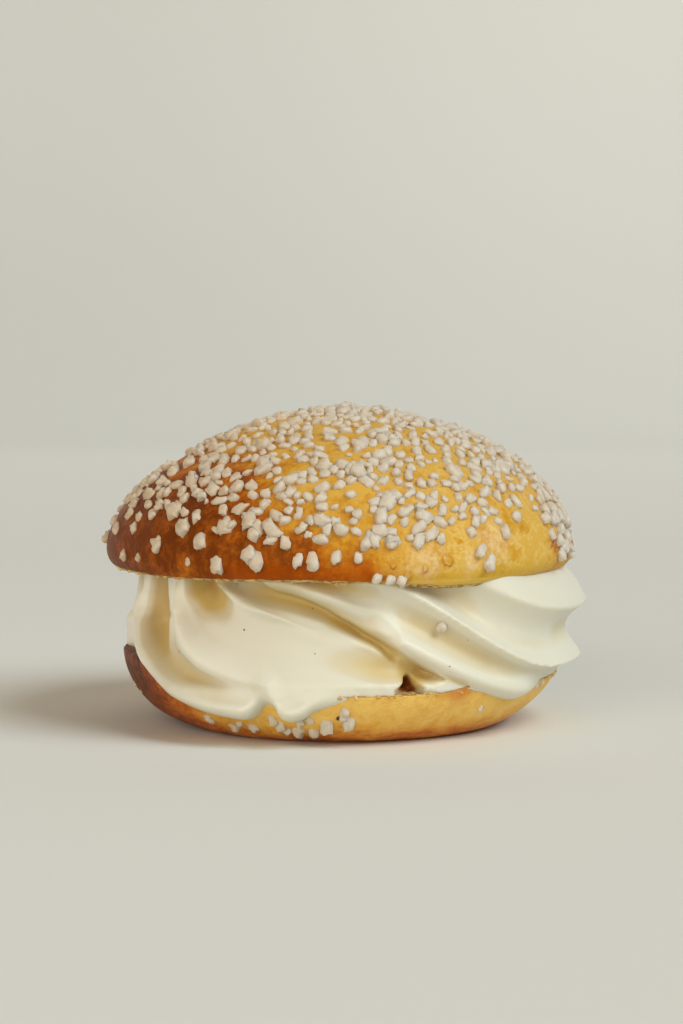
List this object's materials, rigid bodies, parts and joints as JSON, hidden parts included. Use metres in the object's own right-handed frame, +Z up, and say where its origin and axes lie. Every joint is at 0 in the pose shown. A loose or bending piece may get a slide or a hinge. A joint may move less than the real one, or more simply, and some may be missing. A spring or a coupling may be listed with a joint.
{
  "type": "tarte tropezienne",
  "caption": "small round brioche bun cut in two, a domed lid over a shallow base, filled with a thick layer of piped vanilla cream",
  "frame": {"origin": "under the middle of the whole tart, on the surface that it stands on", "axes": "+Z up through the base, the cream and the lid; -Y is the side seen first"},
  "size_m": [0.103, 0.1, 0.0664],
  "materials": {
    "base_crust": "pale golden brioche crust, matte, with a browner foot",
    "cream": "smooth ivory piped cream, satin",
    "lid_crust": "egg-washed golden brown brioche crust, satin",
    "sugar": "off-white pearl sugar grains"
  },
  "bodies": {
    "root": {"brioche_base": "base_crust", "cream_filling": "cream", "brioche_lid": "lid_crust"}
  },
  "joints": []
}
